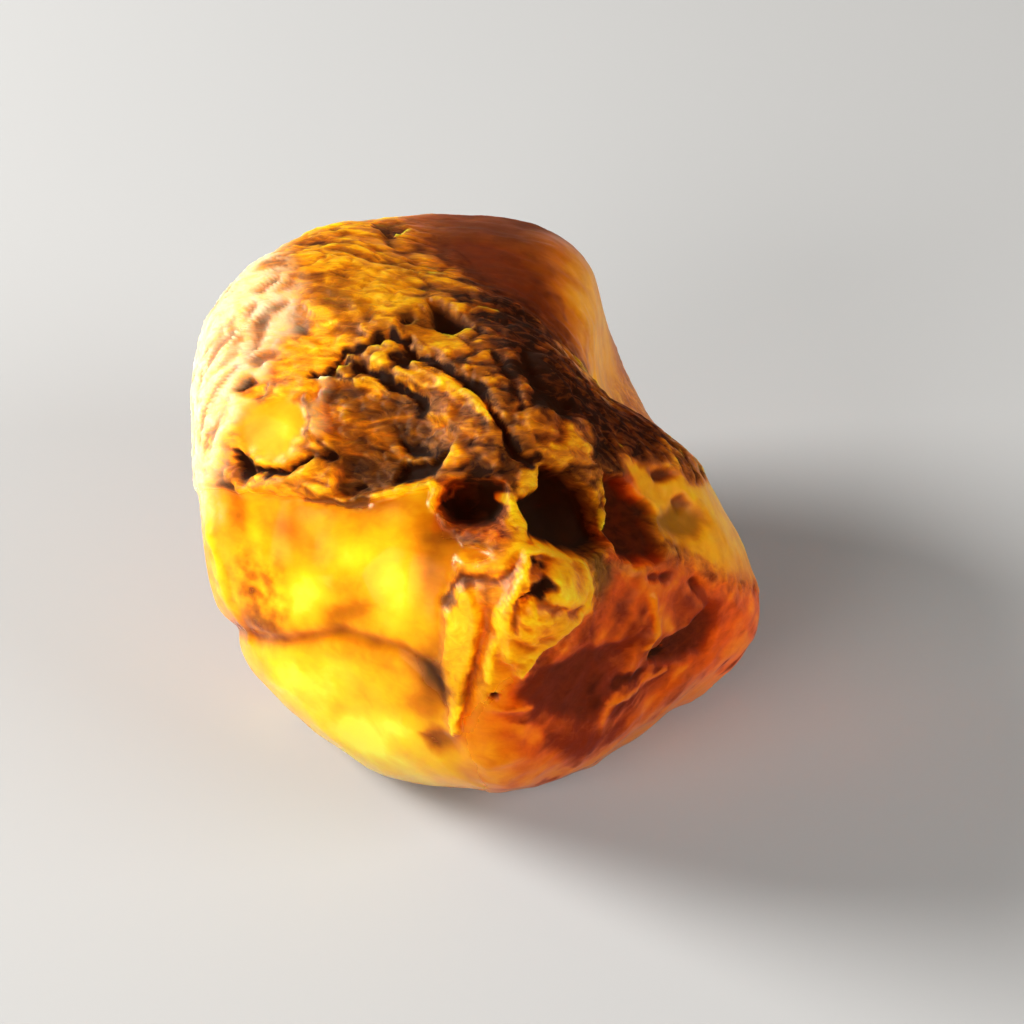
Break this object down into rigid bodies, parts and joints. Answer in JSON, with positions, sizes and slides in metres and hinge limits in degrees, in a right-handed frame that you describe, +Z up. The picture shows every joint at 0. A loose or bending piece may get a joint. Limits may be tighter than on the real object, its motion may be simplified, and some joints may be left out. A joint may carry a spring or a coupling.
{
  "type": "raw amber nugget",
  "caption": "Rough lump of raw amber with a glowing clear side, a wrinkled brown crust, dark hollows and a waist behind, resting on a worn flat.",
  "frame": {"origin": "on the resting flat, midway between the stone's left and right ends and its front and back ends", "axes": "+Z up from the resting flat, +Y along the stone's length towards its narrower back lobe, +X to the right as the clear front is faced"},
  "size_m": [0.0476, 0.058, 0.0349],
  "materials": {
    "amber": "gloss",
    "cloud": "satin",
    "debris": "matte"
  },
  "bodies": {
    "root": {"amber_nugget": "amber"}
  },
  "joints": []
}
